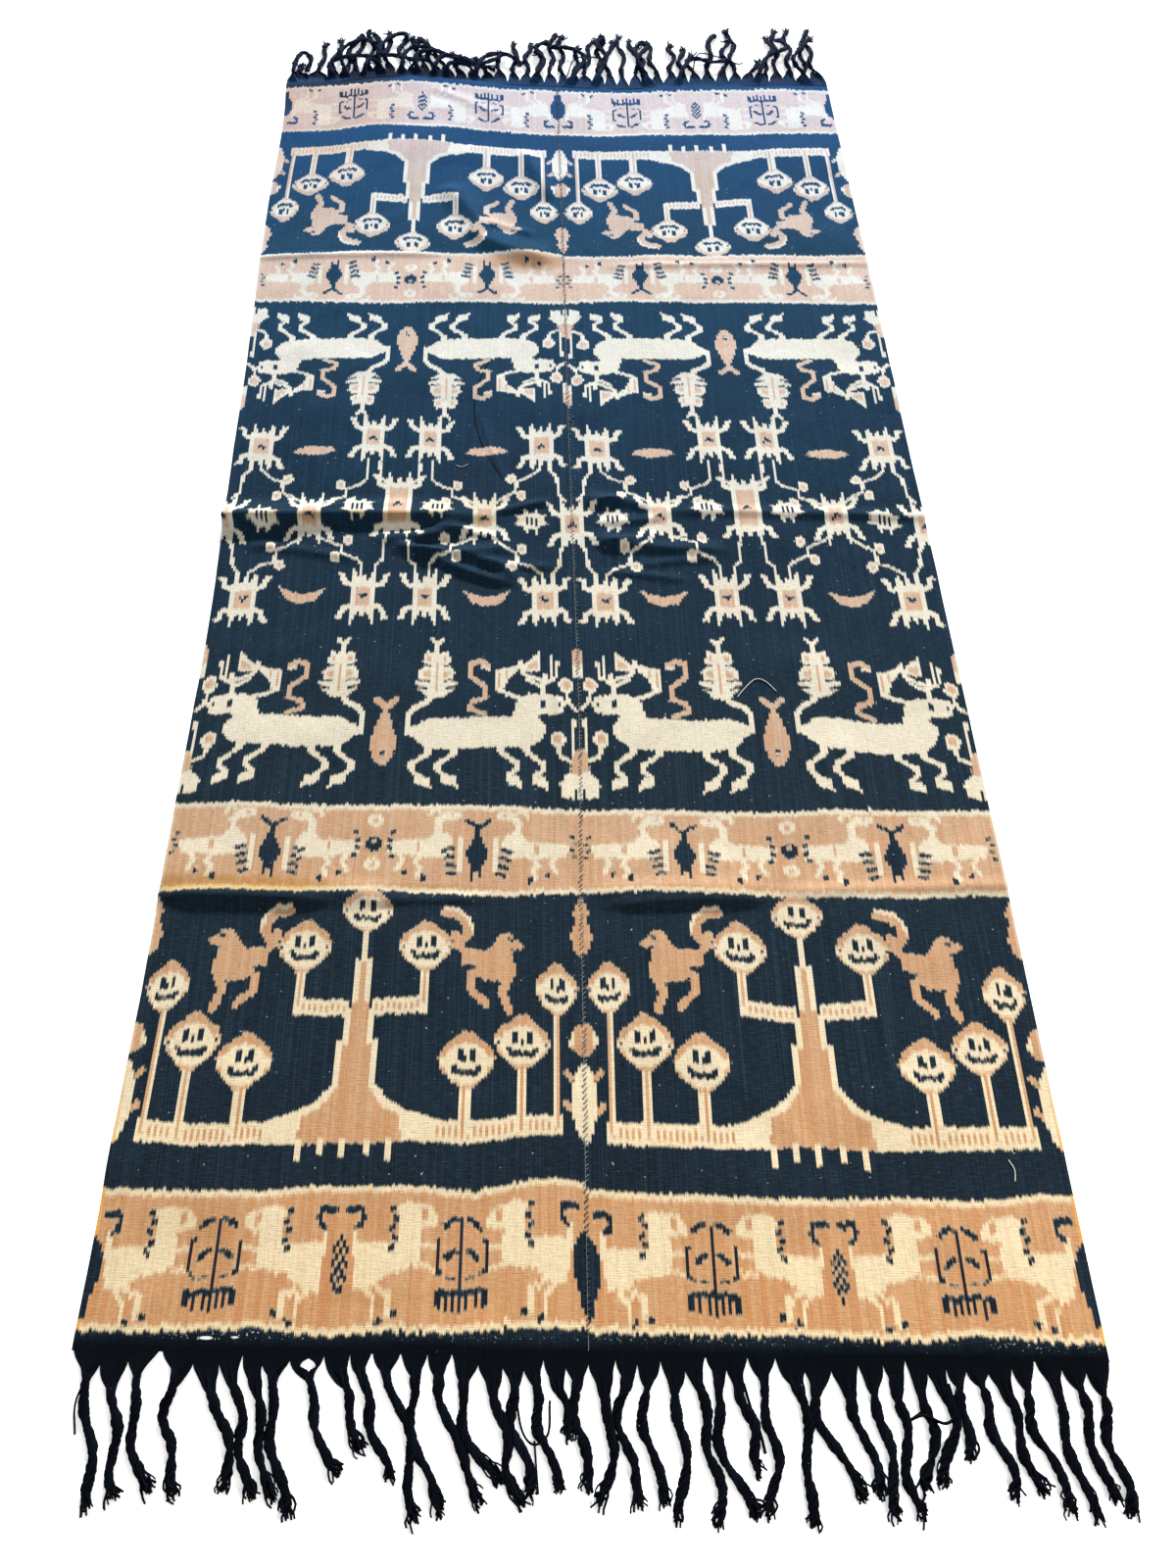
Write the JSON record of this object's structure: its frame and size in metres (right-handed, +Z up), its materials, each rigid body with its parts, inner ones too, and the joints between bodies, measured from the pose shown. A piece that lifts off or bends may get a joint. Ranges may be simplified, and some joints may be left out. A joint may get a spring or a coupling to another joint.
{
  "type": "handwoven ikat throw",
  "caption": "Long handwoven ikat throw lying flat, two loom widths joined by a centre seam, with bands of animal and tree motifs and twisted dark fringes at both ends.",
  "frame": {"origin": "on the surface that the throw lies on, under the middle of its outline, fringes included", "axes": "+X across the throw to the right, +Y along the warp towards the far end, +Z up out of the cloth"},
  "size_m": [1.2139, 2.9291, 0.0154],
  "materials": {
    "panel_cloth": "matt handspun cotton in warp-faced weave, indigo, tan and cream",
    "fringe_yarn": "matt twisted cotton warp, dyed near-black indigo"
  },
  "bodies": {
    "root": {"panel_left": "panel_cloth", "panel_right": "panel_cloth", "fringe_near_left": "fringe_yarn", "fringe_near_right": "fringe_yarn", "fringe_far_left": "fringe_yarn", "fringe_far_right": "fringe_yarn"}
  },
  "joints": []
}
